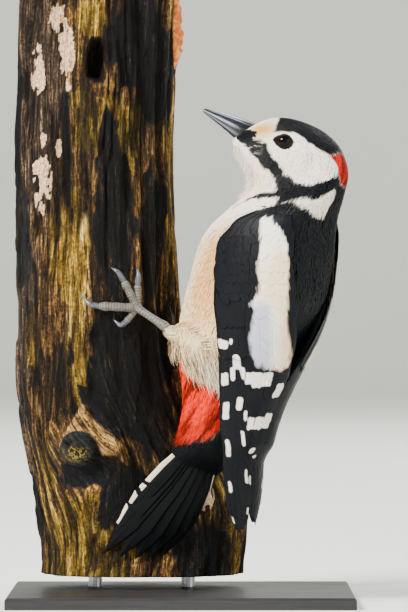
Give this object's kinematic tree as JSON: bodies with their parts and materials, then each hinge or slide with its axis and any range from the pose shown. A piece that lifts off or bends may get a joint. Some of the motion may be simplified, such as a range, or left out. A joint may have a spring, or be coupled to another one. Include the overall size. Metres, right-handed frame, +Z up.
{
  "type": "great spotted woodpecker model",
  "caption": "Life-size still model of a great spotted woodpecker clinging to a cut length of dead trunk, held on a flat display base by short rods.",
  "frame": {"origin": "centre of the stand's underside, on the surface it rests on", "axes": "+Z up; +X from the trunk towards the bird's back; -Y the side that the bird's left wing shows to"},
  "size_m": [0.146, 0.133, 0.265],
  "materials": {
    "plumage_dark": "soft feathers",
    "plumage_pale": "soft feathers",
    "plumage_red": "soft feathers",
    "wing_feathers": "smooth feathers with a faint sheen",
    "tail_feathers": "smooth feathers with a faint sheen",
    "bill_horn": "satin horn",
    "eye": "polished",
    "leg_scales": "small dry scales",
    "claw_horn": "satin horn",
    "dead_wood": "weathered, furrowed along the grain",
    "bark_fungus": "dry crust",
    "stand_board": "satin black stain",
    "stand_steel": "satin"
  },
  "bodies": {
    "root": {"bill_upper": "bill_horn", "bill_lower": "bill_horn", "eye_left": "eye", "eye_right": "eye", "head": "plumage_dark", "neck": "plumage_pale", "torso": "plumage_pale", "rump": "plumage_red", "wing_left": "wing_feathers", "wing_right": "wing_feathers", "wing_tip_left": "wing_feathers", "wing_tip_right": "wing_feathers", "tail": "tail_feathers", "thigh_left": "plumage_pale", "thigh_right": "plumage_pale", "shank_left": "leg_scales", "shank_right": "leg_scales", "foot_left": "leg_scales", "foot_right": "leg_scales", "claw_left_1": "claw_horn", "claw_left_2": "claw_horn", "claw_left_3": "claw_horn", "claw_left_4": "claw_horn", "claw_right_1": "claw_horn", "claw_right_2": "claw_horn", "claw_right_3": "claw_horn", "claw_right_4": "claw_horn", "perch_trunk": "dead_wood", "perch_fungus": "bark_fungus", "stand_base": "stand_board", "stand_rod_1": "stand_steel", "stand_rod_2": "stand_steel"}
  },
  "joints": []
}
